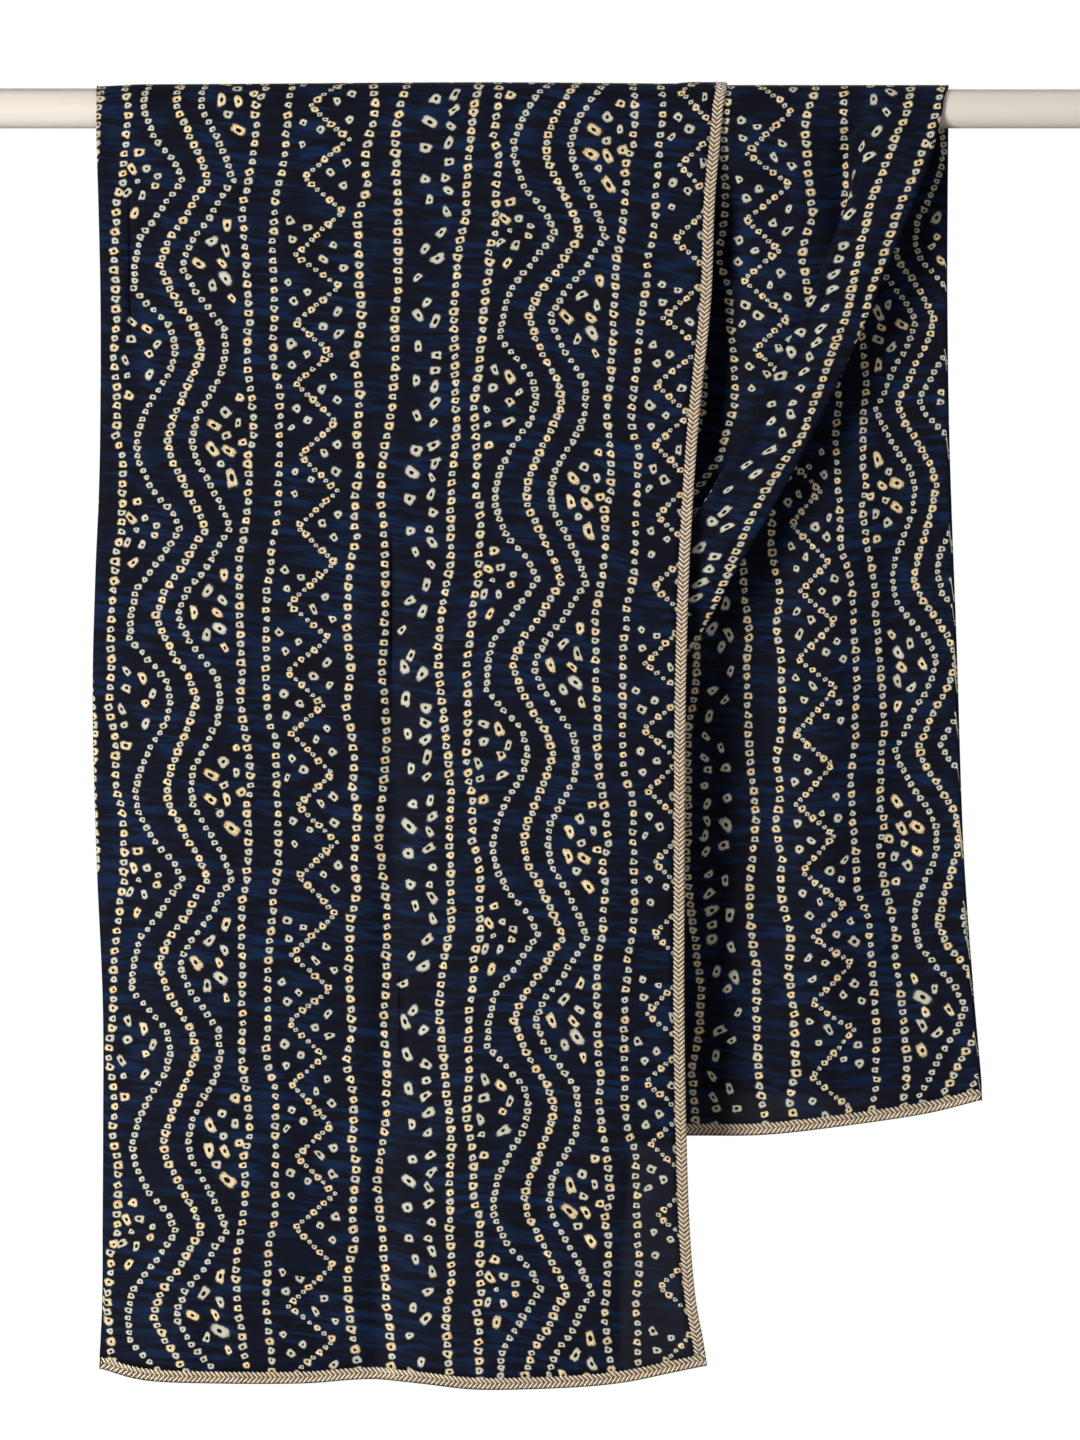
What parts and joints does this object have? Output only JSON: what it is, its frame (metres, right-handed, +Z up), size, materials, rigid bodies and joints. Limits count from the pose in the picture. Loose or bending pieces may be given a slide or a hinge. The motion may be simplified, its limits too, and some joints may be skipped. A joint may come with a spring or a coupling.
{
  "type": "dupatta stole on a rod",
  "caption": "Long printed dupatta stole with braided edges, folded lengthwise and wound once over a round cream rod, both ends hanging.",
  "frame": {"origin": "on the rod's axis, half way along it, where the rod is held", "axes": "+X along the rod, to the right seen from the front; +Z up; the front, with the longer end of the stole, faces -Y"},
  "size_m": [0.72, 0.0567, 0.8172],
  "materials": {
    "cloth": "fine weave, low sheen",
    "braid": "metallic gold and silver braid",
    "rod": "matt cream paint"
  },
  "bodies": {
    "root": {"rod": "rod", "front_panel": "cloth", "back_fall": "cloth", "side_swag": "cloth", "back_panel": "cloth", "braid_front_edge": "braid", "braid_under_flap_edge": "braid", "braid_front_hem": "braid", "braid_back_fall_edge": "braid", "braid_back_near_edge": "braid", "braid_back_far_edge": "braid", "braid_back_hem": "braid"}
  },
  "joints": []
}
